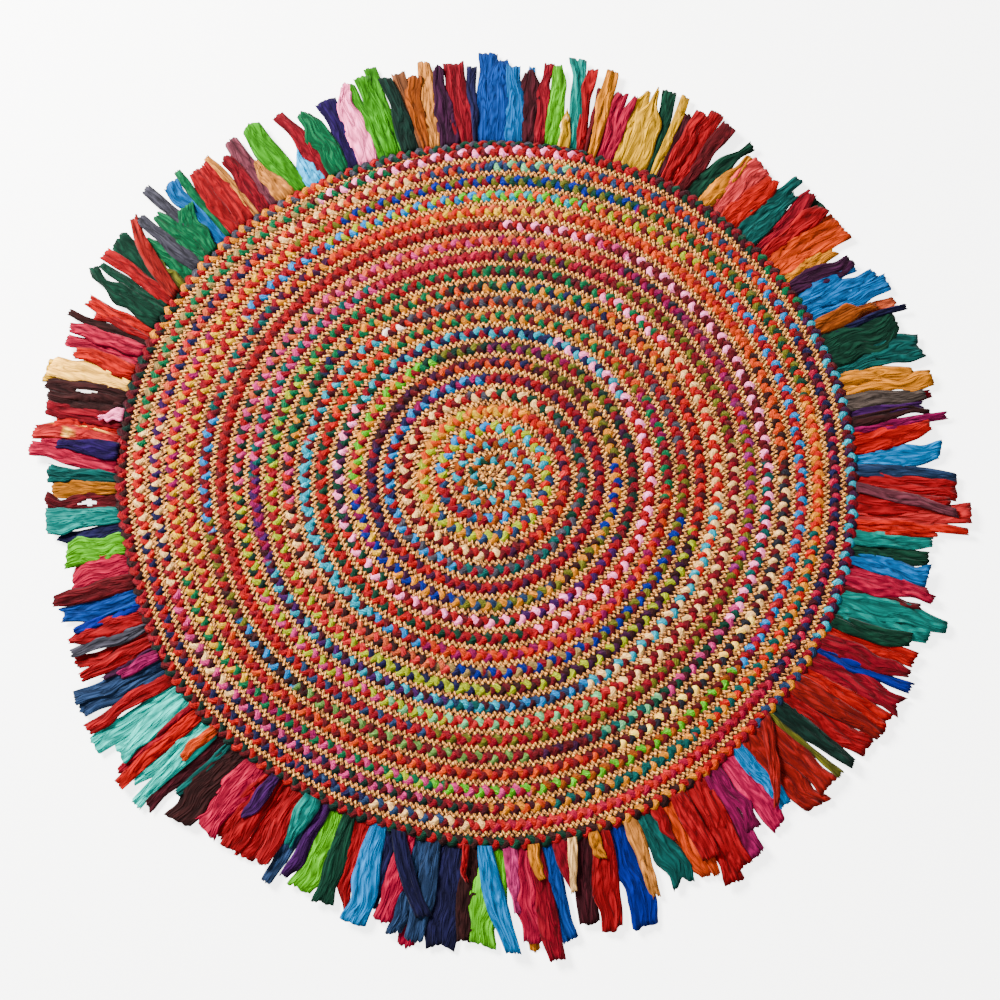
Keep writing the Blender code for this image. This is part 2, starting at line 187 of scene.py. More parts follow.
# Which three rags the cotton braid is made of from a place on: row, clock angle and dyes.
Stretch = namedtuple("Stretch", "row clock rags")
COTTON_ROWS = [
    Stretch(*row)
    for row in (
        (-1, 130, "forest rust aqua"), (0, 25, "crimson rust aqua"), (1, 0, "crimson rust aqua"),
        (1, 140, "crimson rust sky"), (1, 195, "crimson red steel"),
        (1, 265, "vermilion citron sky"), (2, 0, "vermilion citron aqua"),
        (2, 80, "vermilion citron steel"), (2, 165, "gold citron steel"),
        (2, 235, "orange citron gold"), (2, 345, "gold yellow orange"),
        (3, 0, "orange gold yellow"), (3, 15, "vermilion gold orange"),
        (3, 30, "red vermilion orange"), (3, 45, "red coral plum"), (3, 95, "red wine orange"),
        (3, 150, "crimson wine plum"), (3, 172, "red wine straw"), (3, 345, "red slate straw"),
        (4, 0, "red forest straw"), (4, 40, "red forest slate"), (4, 120, "crimson teal slate"),
        (4, 200, "crimson sky slate"), (4, 240, "red sky navy"), (4, 300, "magenta sky navy"),
        (5, 0, "red crimson plum"), (5, 200, "scarlet red plum"), (5, 232, "crimson navy plum"),
        (5, 285, "wine sable plum"), (5, 322, "wine orange plum"), (6, 0, "wine orange navy"),
        (6, 20, "wine olive maroon"), (6, 52, "gold olive sable"), (6, 83, "gold royal crimson"),
        (6, 105, "gold royal olive"), (6, 120, "gold olive sable"), (6, 150, "gold olive steel"),
        (6, 195, "gold royal plum"), (6, 235, "yellow royal magenta"),
        (6, 265, "gold lime crimson"), (6, 325, "lime green pine"), (6, 337, "olive maroon pine"),
        (7, 0, "magenta plum olive"), (7, 25, "magenta crimson olive"),
        (7, 37, "crimson pine olive"), (7, 60, "crimson plum pine"), (7, 80, "crimson wine pine"),
        (7, 115, "crimson red purple"), (7, 143, "blush crimson purple"),
        (7, 165, "blush red forest"), (7, 180, "blush red wine"), (7, 220, "blush scarlet forest"),
        (7, 252, "blush plum forest"), (7, 288, "blush crimson forest"),
        (7, 300, "aqua crimson forest"), (7, 313, "aqua crimson navy"), (8, 0, "aqua crimson navy"),
        (8, 10, "aqua navy navy"), (8, 25, "aqua blush navy"), (8, 43, "aqua blush wine"),
        (8, 60, "red blush red"), (8, 165, "red crimson forest"), (8, 200, "red scarlet forest"),
        (8, 292, "scarlet orange green"), (8, 325, "wine gold green"), (9, 0, "wine gold green"),
        (9, 42, "crimson orange olive"), (9, 60, "crimson magenta green"),
        (9, 80, "crimson wine green"), (9, 95, "red orange wine"),
        (9, 110, "scarlet orange magenta"), (9, 200, "red sky wine"), (9, 220, "aqua aqua wine"),
        (9, 283, "red aqua maroon"), (9, 297, "vermilion aqua wine"),
        (9, 322, "vermilion white maroon"), (9, 332, "vermilion slate maroon"),
        (10, 0, "orange slate maroon"), (10, 25, "crimson slate red"), (10, 85, "red olive wine"),
        (10, 105, "royal olive wine"), (10, 147, "royal tan crimson"), (10, 180, "royal navy tan"),
        (10, 193, "coral salmon sable"), (10, 240, "coral straw sable"),
        (10, 262, "scarlet pink sable"), (10, 278, "gold green pine"), (10, 300, "wine green navy"),
        (10, 313, "gold red green"), (10, 325, "gold wine green"), (10, 345, "orange maroon pine"),
        (11, 0, "gold green navy"), (11, 33, "orange gold maroon"),
        (11, 65, "vermilion red maroon"), (11, 107, "citron sable plum"),
        (11, 160, "citron wine sable"), (11, 180, "citron citron navy"),
        (11, 212, "citron coral red"), (11, 245, "citron crimson red"),
        (11, 272, "citron green wine"), (11, 310, "red green wine"), (12, 0, "green maroon wine"),
        (12, 28, "green red blush"), (12, 50, "vermilion red straw"),
        (12, 97, "vermilion aqua straw"), (12, 120, "wine aqua straw"),
        (12, 155, "sky steel maroon"), (12, 180, "aqua teal steel"),
        (12, 190, "aqua purple maroon"), (12, 250, "magenta crimson purple"),
        (12, 272, "teal pink crimson"), (12, 332, "rose crimson crimson"),
        (13, 0, "crimson plum olive"), (13, 20, "crimson rose wine"),
        (13, 29, "crimson wine olive"), (13, 80, "wine crimson straw"), (13, 150, "coral red mint"),
        (13, 192, "citron red mint"), (13, 203, "citron red pink"),
        (13, 240, "citron vermilion pine"), (13, 270, "pink red pine"),
        (13, 285, "pink salmon pine"), (13, 313, "pink salmon wine"),
        (13, 325, "pink salmon crimson"), (13, 345, "pink orange crimson"),
        (14, 0, "salmon magenta vermilion"), (14, 14, "salmon red crimson"),
        (14, 30, "crimson magenta charcoal"), (14, 49, "magenta mauve red"),
        (14, 75, "orchid red olive"), (14, 115, "crimson wine olive"),
        (14, 150, "crimson red olive"), (14, 190, "crimson red steel"),
        (14, 225, "scarlet red crimson"), (14, 250, "red red wine"), (15, 0, "wine red blush"),
        (15, 20, "scarlet wine pink"), (15, 29, "wine wine blush"), (15, 87, "crimson teal blush"),
        (15, 120, "pink forest maroon"), (15, 145, "mint teal wine"), (15, 160, "wine plum wine"),
        (15, 170, "wine crimson sage"), (15, 220, "sable sable sky"), (15, 237, "wine olive sable"),
        (15, 245, "wine red olive"), (15, 260, "sky crimson wine"),
        (15, 285, "teal crimson salmon"), (15, 300, "teal plum crimson"),
        (15, 311, "gold plum red"), (15, 325, "orange red vermilion"),
        (15, 345, "orange vermilion yellow"), (16, 0, "salmon yellow crimson"),
        (16, 17, "red orange orange"), (16, 60, "orange orange sable"),
        (16, 88, "wine charcoal straw"), (16, 120, "cream charcoal wine"),
        (16, 158, "orange wine red"), (16, 222, "orange crimson red"),
        (16, 240, "yellow crimson red"), (16, 306, "sky crimson red"), (16, 325, "sky citron red"),
        (16, 353, "sky lime orange"), (17, 0, "aqua lime orange"), (17, 20, "wine citron orange"),
        (17, 43, "crimson vermilion sky"), (17, 88, "crimson coral sky"),
        (17, 120, "magenta red sky"), (17, 127, "wine rust lime"), (17, 173, "crimson pink lime"),
        (17, 190, "green pink citron"), (17, 197, "green pink crimson"),
        (17, 213, "green magenta crimson"), (17, 228, "green yellow crimson"),
        (17, 255, "red yellow vermilion"), (17, 268, "magenta yellow vermilion"),
        (17, 300, "red yellow vermilion"), (17, 320, "red olive vermilion"),
        (17, 332, "royal olive crimson"), (18, 0, "royal olive forest"),
        (18, 30, "vermilion olive forest"), (18, 73, "vermilion gold orange"),
        (18, 97, "vermilion gold teal"), (18, 145, "teal gold teal"), (18, 157, "teal gold maroon"),
        (18, 172, "orange gold maroon"), (18, 180, "crimson wine pine"),
        (18, 193, "pink wine pine"), (18, 206, "pink wine navy"), (18, 228, "pink straw maroon"),
        (18, 240, "pink red crimson"), (18, 252, "straw red navy"), (18, 268, "straw coral purple"),
        (18, 283, "salmon coral navy"), (18, 300, "salmon crimson navy"),
        (18, 315, "orange crimson straw"), (18, 345, "orange crimson steel"),
        (19, 0, "steel mint orange"), (19, 15, "steel red orange"), (19, 53, "sky red wine"),
        (19, 67, "navy maroon rose"), (19, 129, "crimson rose red"),
        (19, 145, "vermilion rose coral"), (19, 180, "red straw wine"),
        (19, 188, "steel straw wine"), (19, 200, "steel navy red"), (19, 215, "scarlet navy wine"),
        (19, 240, "scarlet navy crimson"), (19, 254, "vermilion navy straw"),
        (19, 260, "vermilion red straw"), (19, 276, "green red tan"), (19, 327, "green wine blush"),
        (19, 345, "red wine blush"), (20, 0, "red red blush"), (20, 13, "red red pine"),
        (20, 27, "crimson maroon forest"), (20, 47, "maroon red green"), (20, 60, "wine plum aqua"),
        (20, 96, "crimson plum aqua"), (20, 115, "crimson gold steel"),
        (20, 132, "crimson scarlet orange"), (20, 145, "red gold sable"),
        (20, 163, "red sable forest"), (20, 193, "red wine pine"), (20, 213, "scarlet wine pine"),
        (20, 240, "red crimson sable"), (20, 277, "maroon pine wine"),
        (20, 292, "crimson gold pine"), (20, 300, "red gold slate"), (20, 325, "red orange gold"),
        (20, 332, "red slate forest"),
    )
]  # fmt: skip

# The fringe, clockwise from 12 o'clock: where each strip's root ends (it starts where the last
# one ended), the clock angles of its tip, how far it reaches and its dye. They are the part's own
# numbers, but near 180 and 274 degrees, where a strip of the part is a loose one here.
Strip = namedtuple("Strip", "root_to tip_from tip_to reach dye")
FIRST_ROOT = 0.1
FRINGE = [
    Strip(*row)
    for row in (
        (2.7, 0.5, 2.2, 609, "cobalt"), (5.1, 2.6, 4.1, 598, "azure"),
        (7.2, 4.3, 6.1, 594, "maroon"), (8.7, 7.0, 8.2, 606, "crimson"),
        (11.1, 8.6, 9.8, 607, "lime"), (12.8, 11.2, 11.8, 541, "butter"),
        (14.3, 10.7, 12.6, 620, "jade"), (15.4, 12.9, 14.0, 608, "red"),
        (16.3, 14.4, 15.2, 582, "wine"), (17.4, 15.5, 17.2, 612, "gold"),
        (19.2, 17.6, 19.2, 585, "rose"), (20.3, 19.5, 20.5, 584, "rose"),
        (22.3, 20.9, 22.1, 600, "butter"), (25.6, 22.3, 23.4, 611, "butter"),
        (27.1, 23.7, 25.4, 612, "forest"), (27.9, 26.1, 27.1, 611, "butter"),
        (28.9, 27.3, 28.3, 590, "maroon"), (30.3, 28.5, 30.3, 601, "red"),
        (32.0, 30.6, 32.4, 611, "red"), (33.3, 32.6, 34.6, 604, "wine"),
        (36.1, 36.8, 37.4, 597, "forest"), (38.1, 37.8, 38.7, 578, "gold"),
        (40.7, 38.9, 41.4, 583, "melon"), (43.3, 41.6, 43.8, 575, "vermilion"),
        (45.6, 44.3, 45.6, 598, "teal"), (47.7, 45.8, 46.9, 579, "teal"),
        (49.4, 47.2, 49.0, 598, "crimson"), (50.9, 49.2, 51.2, 592, "red"),
        (52.9, 51.5, 53.2, 594, "orange"), (54.7, 53.3, 54.8, 594, "orange"),
        (56.2, 55.0, 56.8, 566, "gold"), (58.1, 56.9, 58.9, 573, "plum"),
        (59.9, 59.0, 60.2, 572, "azure"), (61.8, 60.4, 61.9, 592, "azure"),
        (63.8, 62.1, 64.3, 602, "azure"), (65.9, 64.5, 65.4, 570, "rust"),
        (66.6, 66.8, 67.4, 603, "navy"), (71.4, 68.0, 70.6, 582, "forest"),
        (73.3, 70.9, 73.9, 601, "teal"), (75.1, 74.7, 76.1, 577, "gold"),
        (76.9, 76.4, 78.2, 598, "gold"), (79.2, 78.4, 79.5, 583, "taupe"),
        (80.6, 79.7, 80.6, 577, "purple"), (82.1, 80.8, 81.4, 583, "sable"),
        (83.3, 81.5, 82.3, 605, "magenta"), (86.3, 82.6, 84.0, 580, "scarlet"),
        (88.3, 86.0, 88.3, 590, "sky"), (89.8, 89.8, 90.6, 603, "steel"),
        (92.5, 90.8, 92.7, 603, "red"), (95.7, 92.9, 93.6, 593, "red"),
        (97.0, 93.8, 96.1, 620, "coral"), (97.8, 96.3, 97.0, 618, "vermilion"),
        (98.8, 97.2, 98.2, 578, "vermilion"), (100.8, 98.4, 99.8, 573, "jade"),
        (102.8, 100.3, 101.9, 570, "forest"), (104.0, 102.4, 104.6, 574, "azure"),
        (105.6, 104.9, 106.0, 578, "rose"), (107.4, 106.1, 107.0, 586, "rose"),
        (108.7, 107.2, 107.8, 572, "wine"), (111.0, 108.0, 109.9, 608, "jade"),
        (112.7, 110.2, 111.4, 591, "jade"), (114.4, 111.6, 112.9, 570, "forest"),
        (116.2, 113.2, 115.2, 585, "scarlet"), (118.3, 115.5, 117.0, 584, "crimson"),
        (119.2, 117.2, 118.5, 593, "royal"), (122.0, 118.8, 120.6, 593, "crimson"),
        (123.7, 121.8, 123.4, 588, "scarlet"), (126.4, 123.8, 125.2, 588, "brick"),
        (128.8, 125.5, 128.5, 583, "red"), (130.9, 128.8, 130.1, 579, "pine"),
        (132.1, 131.2, 132.1, 575, "olive"), (134.2, 132.3, 134.9, 573, "brick"),
        (137.9, 135.2, 137.9, 584, "brick"), (139.7, 138.2, 140.0, 553, "sky"),
        (142.7, 140.3, 142.2, 568, "fuchsia"), (144.2, 142.4, 144.4, 551, "magenta"),
        (145.6, 144.9, 146.4, 576, "magenta"), (147.4, 146.6, 148.5, 579, "red"),
        (149.6, 148.7, 150.6, 591, "red"), (151.4, 150.8, 151.6, 570, "orange"),
        (153.6, 151.9, 153.4, 566, "orange"), (155.0, 153.7, 154.2, 512, "red"),
        (157.6, 153.9, 156.7, 564, "teal"), (159.4, 158.6, 159.4, 563, "peach"),
        (162.0, 159.6, 162.4, 590, "royal"), (164.4, 164.6, 166.8, 584, "red"),
        (167.7, 167.1, 169.0, 570, "maroon"), (170.3, 168.9, 169.5, 528, "crimson"),
        (172.4, 169.4, 171.1, 585, "cobalt"), (174.2, 171.3, 173.0, 602, "crimson"),
        (176.1, 173.2, 176.0, 580, "rose"), (177.9, 176.2, 176.9, 544, "pink"),
        (181.6, 179.3, 181.8, 585, "lime"), (183.6, 182.3, 183.9, 577, "sable"),
        (187.3, 184.2, 187.4, 588, "navy"), (189.1, 188.1, 190.0, 583, "steel"),
        (191.3, 190.5, 192.0, 580, "steel"), (192.9, 192.2, 194.2, 569, "rose"),
        (195.9, 194.3, 194.8, 556, "navy"), (197.9, 195.0, 197.5, 578, "sky"),
        (200.8, 197.8, 199.0, 570, "red"), (202.5, 199.3, 201.5, 570, "forest"),
        (204.9, 201.8, 204.9, 564, "lime"), (206.2, 205.1, 206.6, 560, "purple"),
        (208.9, 207.1, 208.3, 575, "steel"), (210.9, 208.5, 210.0, 560, "red"),
        (212.7, 210.2, 212.5, 566, "red"), (214.7, 212.8, 215.0, 566, "red"),
        (216.2, 215.2, 216.4, 561, "red"), (219.3, 217.1, 219.4, 567, "rose"),
        (222.6, 219.7, 222.8, 583, "sable"), (223.4, 223.1, 223.8, 555, "teal"),
        (225.3, 224.4, 225.8, 594, "maroon"), (227.1, 226.0, 227.2, 600, "ice"),
        (228.8, 227.4, 228.5, 585, "ice"), (230.6, 228.7, 229.7, 600, "scarlet"),
        (232.0, 229.9, 230.6, 592, "crimson"), (233.8, 230.9, 233.0, 578, "ice"),
        (235.8, 233.6, 235.9, 598, "ice"), (237.7, 236.2, 237.6, 595, "red"),
        (239.0, 237.9, 239.6, 592, "steel"), (240.7, 239.9, 241.5, 592, "steel"),
        (242.2, 241.5, 242.1, 550, "plum"), (243.8, 242.4, 243.7, 573, "red"),
        (244.9, 243.9, 245.2, 573, "red"), (246.0, 245.6, 246.7, 573, "slate"),
        (248.3, 247.0, 248.3, 571, "red"), (249.5, 248.5, 249.5, 562, "royal"),
        (251.8, 249.8, 251.9, 573, "cobalt"), (254.0, 252.3, 254.0, 578, "wine"),
        (257.8, 254.2, 256.9, 553, "rose"), (260.8, 257.4, 260.3, 555, "lime"),
        (262.7, 260.5, 261.5, 561, "navy"), (264.8, 261.9, 265.1, 573, "turquoise"),
        (267.3, 265.6, 267.1, 575, "wine"), (268.8, 267.4, 269.5, 566, "ochre"),
        (270.6, 269.7, 271.3, 573, "teal"), (272.4, 272.8, 274.3, 600, "rose"),
        (274.9, 273.7, 275.0, 588, "rose"), (276.4, 275.0, 276.5, 599, "coral"),
        (277.7, 276.8, 278.1, 575, "scarlet"), (279.7, 278.4, 279.8, 591, "crimson"),
        (281.5, 280.0, 281.4, 592, "sable"), (283.4, 281.7, 283.2, 600, "sable"),
        (285.7, 283.5, 286.0, 603, "cream"), (287.7, 286.4, 287.7, 576, "vermilion"),
        (289.6, 287.9, 289.4, 594, "rose"), (291.5, 289.6, 291.0, 598, "rose"),
        (292.3, 291.3, 292.1, 607, "sable"), (293.1, 292.4, 293.3, 573, "red"),
        (294.6, 293.6, 295.2, 592, "scarlet"), (297.6, 297.4, 298.7, 611, "forest"),
        (298.9, 299.0, 299.9, 603, "forest"), (300.4, 300.4, 301.7, 607, "red"),
        (302.1, 302.2, 304.6, 605, "forest"), (303.4, 303.4, 304.0, 542, "olive"),
        (305.8, 304.9, 306.0, 577, "green"), (307.8, 306.5, 308.1, 601, "slate"),
        (310.2, 308.4, 309.8, 588, "green"), (311.4, 310.1, 311.2, 625, "slate"),
        (313.3, 312.3, 314.4, 605, "azure"), (313.9, 314.6, 315.5, 611, "green"),
        (316.3, 315.8, 317.3, 596, "red"), (318.8, 317.5, 318.9, 595, "red"),
        (319.8, 319.1, 319.9, 600, "peach"), (321.7, 320.2, 322.0, 585, "crimson"),
        (323.5, 322.2, 323.6, 603, "mauve"), (326.2, 324.0, 325.0, 556, "peach"),
        (328.8, 324.7, 327.1, 607, "leaf"), (331.4, 329.6, 330.3, 538, "cyan"),
        (333.1, 329.8, 331.1, 600, "crimson"), (336.0, 332.8, 335.2, 588, "green"),
        (338.0, 335.9, 337.8, 590, "indigo"), (340.8, 339.0, 340.1, 605, "blush"),
        (342.7, 340.5, 341.4, 600, "leaf"), (344.7, 341.7, 343.0, 606, "leaf"),
        (345.5, 343.4, 345.0, 618, "leaf"), (347.9, 345.4, 346.3, 597, "pine"),
        (348.7, 346.6, 348.1, 600, "brown"), (349.9, 348.4, 350.2, 592, "rust"),
        (351.9, 350.6, 352.0, 612, "peach"), (354.6, 352.2, 353.5, 602, "plum"),
        (357.2, 353.8, 356.0, 607, "crimson"), (357.8, 356.9, 358.1, 597, "navy"),
        (360.1, 358.4, 360.3, 618, "cobalt"),
    )
]  # fmt: skip

# Strips that lie over the row of the others at their own heights, or under it (below 0).
Loose = namedtuple("Loose", "root_from root_to tip_from tip_to reach dye height")
LOOSE_STRIPS = [
    Loose(*row)
    for row in (
        (5.2, 6.8, 5.5, 6.4, 603, "azure", -1),
        (48.6, 50.6, 47.1, 50.8, 598, "forest", -1),
        (66.0, 67.4, 64.6, 66.2, 596, "salmon", -1),
        (78.0, 79.6, 78.3, 79.6, 592, "crimson", -1),
        (91.2, 92.5, 94.6, 95.3, 603, "mauve", 6.0),
        (123.7, 125.4, 124.2, 125.6, 530, "purple", -1),
        (131.6, 133.4, 139.6, 140.8, 545, "brick", 6.0),
        (149.6, 151.5, 149.8, 151.7, 551, "red", 6.0),
        (163.7, 164.9, 163.9, 165.0, 500, "gold", 6.0),
        (167.0, 168.2, 168.8, 169.3, 530, "straw", 6.0),
        (172.7, 174.2, 172.4, 173.4, 509, "gold", 6.0),
        (174.5, 175.8, 174.5, 175.6, 590, "gold", -1),
        (179.7, 181.6, 176.3, 178.3, 590, "sky", 6.0),
        (183.0, 183.9, 183.2, 183.6, 508, "red", 6.0),
        (188.9, 190.2, 189.0, 190.9, 592, "rose", -1),
        (192.9, 194.8, 187.3, 189.0, 555, "navy", 6.0),
        (206.7, 209.0, 207.6, 208.3, 525, "jade", 6.0),
        (213.7, 215.0, 214.0, 215.2, 525, "purple", 6.0),
        (225.6, 226.9, 225.7, 226.8, 522, "orange", 6.0),
        (240.0, 241.4, 240.2, 241.2, 530, "magenta", 6.0),
        (272.5, 275.0, 274.1, 274.8, 566, "indigo", 6.0),
        (278.9, 280.6, 278.3, 278.8, 517, "blush", 6.0),
        (283.8, 285.6, 283.2, 285.8, 607, "yellow", -1),
        (300.0, 301.6, 306.3, 307.4, 607, "brick", 6.0),
        (309.2, 310.8, 311.5, 313.4, 566, "green", 6.0),
    )
]

# Strips with pale blotches, and slits torn in strips: middle and half size as shares of the strip.
# Each belongs to the strip whose root ends at that clock angle.
BLOTCHED = {276.4: "cream", 12.8: "white"}
Slit = namedtuple("Slit", "root_to across along wide long")
SLITS = [Slit(267.3, 0.4, 0.42, 0.16, 0.14), Slit(283.4, 0.45, 0.5, 0.1, 0.14)]


# ---------------------------------------------------------------- small helpers
def blend(start, end, share):
    return start + (end - start) * share


def within(value, low, high):
    """How far the value is from low to high, held between 0 and 1."""
    return np.clip((value - low) / (high - low), 0, 1)


def smooth(low, high, value):
    share = within(value, low, high)
    return share * share * (3 - 2 * share)


def wander(rng, place, knots, amount):
    """A smooth random line for places from 0 to 1, with a new value at each knot."""
    values = rng.normal(0, amount, knots)
    at = np.clip(place, 0, 1) * (knots - 1)
    i = np.minimum(at.astype(int), knots - 2)
    return blend(values[i], values[i + 1], smooth(0, 1, at - i))


def cloth_colour(seen):
    """The base colour that shows as the seen one in the stage's light and the render's tones."""
    level = np.array(seen) / 255
    light = np.where(level <= 0.04045, level / 12.92, ((level + 0.055) / 1.055) ** 2.4)
    light = np.clip(blend(light, light @ GREY_WEIGHTS, GREY_SHARE_SEEN), 0.0, 0.985)
    light = TONE_GAIN * light**TONE_TOE / (1 - light) ** TONE_SHOULDER
    light = (light - GREY_SHARE_LIT * (light @ GREY_WEIGHTS)) / (1 - GREY_SHARE_LIT)
    return np.clip(light / LIGHT_LEVEL, 0.0006, 0.92)


def closed_curve(values, clock):
    """The part's own smooth curve through values that are spaced evenly round the clock."""
    values = np.array(values, float)
    place = np.asarray(clock) / 360 * len(values)
    i = np.floor(place).astype(int)
    t = place - i
    before, here, after, beyond = (values[(i + k) % len(values)] for k in (-1, 0, 1, 2))
    slope_here = (after - before) / 2
    slope_after = (beyond - here) / 2
    rise = after - here
    bend = (3 * rise - 2 * slope_here - slope_after) * t**2
    return here + slope_here * t + bend + (slope_here + slope_after - 2 * rise) * t**3


def spiral_radius(turns, offset):
    radius = np.maximum(PITCH * np.asarray(turns) + offset, 0.0)
    clock = np.asarray(turns) * 360
    at_rim = closed_curve(RIM_DRIFT, clock) * (radius / RIM_RADIUS) ** DRIFT_POWER
    swell = blend(TIGHT_SWELL, 0.0, within(radius, *TIGHT_FADE))
    share = within(radius, 0.0, MIDDLE_FULL[0]) * within(radius, RIM_RADIUS, MIDDLE_FULL[1])
    return radius + at_rim + share * (swell + closed_curve(MIDDLE_DRIFT, clock))


def on_plan(clock, radius, height):
    angle = np.radians(clock)
    place = (radius * np.sin(angle), radius * np.cos(angle), height + 0 * angle)
    return np.stack(place, axis=-1) * MM


def finish_piece(name, mesh, material):
    mesh.name = name
    mesh.shade_smooth()
    mesh.materials.clear()
    mesh.materials.append(material)
    piece = bpy.data.objects.new(name, mesh)
    bpy.context.scene.collection.objects.link(piece)
    return piece


def applied(piece):
    """The piece's mesh with its modifiers worked in; the piece itself is removed."""
    graph = bpy.context.evaluated_depsgraph_get()
    mesh = bpy.data.meshes.new_from_object(piece.evaluated_get(graph))
    bpy.data.objects.remove(piece, do_unlink=True)
    return mesh


def points_of(mesh):
    points = np.empty(len(mesh.vertices) * 3, np.float32)
    mesh.vertices.foreach_get("co", points)
    return points.reshape(-1, 3).astype(float)


def move_points(mesh, points):
    mesh.vertices.foreach_set("co", np.asarray(points, np.float32).ravel())
    mesh.update()


def add_colours(mesh, name, colours):
    layer = mesh.color_attributes.new(name, "FLOAT_COLOR", "POINT")
    filled = np.ones((len(colours), 4), np.float32)
    filled[:, :3] = colours
    layer.data.foreach_set("color", filled.ravel())


def add_places(mesh, name, places):
    layer = mesh.attributes.new(name, "FLOAT_VECTOR", "POINT")
    layer.data.foreach_set("vector", np.asarray(places, np.float32).ravel())


# ---------------------------------------------------------------- materials
YARN_SLANT = (1300.0, 0.0, 1700.0)  # radians of twist for each metre across and along a strand
YARN_WAVER = 5.0  # radians by which the bundles of fibres shift that twist
CLOTH_SHINE = 0.03
WHITEST = (0.93, 0.93, 0.93)


def new_material(name, roughness):
    material = bpy.data.materials.new(name)
    material.use_nodes = True
    tree = material.node_tree
    shader = tree.nodes["Principled BSDF"]
    shader.inputs["Roughness"].default_value = roughness
    shader.inputs["Specular IOR Level"].default_value = CLOTH_SHINE
    return material, tree, shader


def thread_group():
    """Threads or creases that run along a strand or strip, from its own laid-out place."""
    tree = bpy.data.node_groups.new("threads_along", "ShaderNodeTree")
    face = tree.interface
    face.new_socket("Place", in_out="INPUT", socket_type="NodeSocketVector")
    for name, value in (("Across", 900.0), ("Along", 120.0), ("Distortion", 0.6), ("Detail", 3.0)):
        socket = face.new_socket(name, in_out="INPUT", socket_type="NodeSocketFloat")
        socket.default_value = value
    face.new_socket("Height", in_out="OUTPUT", socket_type="NodeSocketFloat")
    face.new_socket("Crease", in_out="OUTPUT", socket_type="NodeSocketFloat")
    nodes, links = tree.nodes, tree.links
    given = nodes.new("NodeGroupInput")
    out = nodes.new("NodeGroupOutput")
    parts = nodes.new("ShaderNodeSeparateXYZ")
    links.new(given.outputs["Place"], parts.inputs[0])
    joined = nodes.new("ShaderNodeCombineXYZ")
    for axis, scale in (("X", "Across"), ("Y", "Across"), ("Z", "Along")):
        times = nodes.new("ShaderNodeMath")
        times.operation = "MULTIPLY"
        links.new(parts.outputs[axis], times.inputs[0])
        links.new(given.outputs[scale], times.inputs[1])
        links.new(times.outputs[0], joined.inputs[axis])
    noise = nodes.new("ShaderNodeTexNoise")
    noise.inputs["Scale"].default_value = 1.0
    links.new(joined.outputs[0], noise.inputs["Vector"])
    links.new(given.outputs["Detail"], noise.inputs["Detail"])
    links.new(given.outputs["Distortion"], noise.inputs["Distortion"])
    links.new(noise.outputs["Fac"], out.inputs["Height"])
    centred = nodes.new("ShaderNodeMath")
    centred.operation = "MULTIPLY_ADD"
    centred.inputs[1].default_value = 2.0
    centred.inputs[2].default_value = -1.0
    links.new(noise.outputs["Fac"], centred.inputs[0])
    fold = nodes.new("ShaderNodeMath")
    fold.operation = "ABSOLUTE"
    links.new(centred.outputs[0], fold.inputs[0])
    links.new(fold.outputs[0], out.inputs["Crease"])
    return tree


def place_threads(tree, group, place, across, along, distortion=0.6, detail=3.0):
    node = tree.nodes.new("ShaderNodeGroup")
    node.node_tree = group
    tree.links.new(place.outputs["Vector"], node.inputs["Place"])
    for name, value in (
        ("Across", across),
        ("Along", along),
        ("Distortion", distortion),
        ("Detail", detail),
    ):
        node.inputs[name].default_value = value
    return node.outputs


def attribute_node(tree, name):
    node = tree.nodes.new("ShaderNodeAttribute")
    node.attribute_name = name
    return node


def spread_value(tree, value, low, high, floor, ceiling):
    node = tree.nodes.new("ShaderNodeMapRange")
    tree.links.new(value, node.inputs["Value"])
    for name, number in (
        ("From Min", low),
        ("From Max", high),
        ("To Min", floor),
        ("To Max", ceiling),
    ):
        node.inputs[name].default_value = number
    return node.outputs["Result"]


def shade_colour(tree, colour, share):
    """The colour times a grey share, so that threads read in it and folds read as painted shade."""
    node = tree.nodes.new("ShaderNodeVectorMath")
    node.operation = "SCALE"
    tree.links.new(colour, node.inputs[0])
    tree.links.new(share, node.inputs["Scale"])
    return node.outputs["Vector"]


def no_whiter(tree, colour):
    """Holds the colour below that of the whitest cloth."""
    node = tree.nodes.new("ShaderNodeVectorMath")
    node.operation = "MINIMUM"
    node.inputs[1].default_value = WHITEST
    tree.links.new(colour, node.inputs[0])
    return node.outputs["Vector"]


def bump(tree, shader, heights):
    """Bumps from (height, distance in metres, strength), the coarsest first."""
    normal = None
    for height, distance, strength in heights:
        node = tree.nodes.new("ShaderNodeBump")
        node.inputs["Distance"].default_value = distance
        node.inputs["Strength"].default_value = strength
        tree.links.new(height, node.inputs["Height"])
        if normal:
            tree.links.new(normal, node.inputs["Normal"])
        normal = node.outputs["Normal"]
    tree.links.new(normal, shader.inputs["Normal"])


def rag_material(name, group, across, along, crease_shade_spread):
    """Dyed cotton cloth: the dye is in the mesh with painted shade in it, folds and threads run
    along each strip, and the folds paint shade into their creases and highlights between them.
    """
    material, tree, shader = new_material(name, 0.82)
    shader.inputs["Sheen Weight"].default_value = 0.03
    shader.inputs["Sheen Roughness"].default_value = 0.5
    # The "dye" attribute holds the dye with painted shade already in it.
    dye = attribute_node(tree, "dye")
    place = attribute_node(tree, "laid_out")
    creases = place_threads(tree, group, place, across, along, 0.7, 2.0)["Crease"]
    threads = place_threads(tree, group, place, 2600, 900, 0.0, 2.0)["Height"]
    # Painted shade in the creases, at the first value of the spread, and a painted highlight
    # between them, at the second.
    tone_and_crease_shade = spread_value(tree, creases, 0.0, 0.3, *crease_shade_spread)
    colour = shade_colour(tree, dye.outputs["Color"], tone_and_crease_shade)
    fine = spread_value(tree, threads, 0.3, 0.7, 0.9, 1.1)
    tree.links.new(no_whiter(tree, shade_colour(tree, colour, fine)), shader.inputs["Base Color"])
    bump(tree, shader, ((creases, 0.005, 0.8), (threads, 0.0006, 0.5)))
    return material


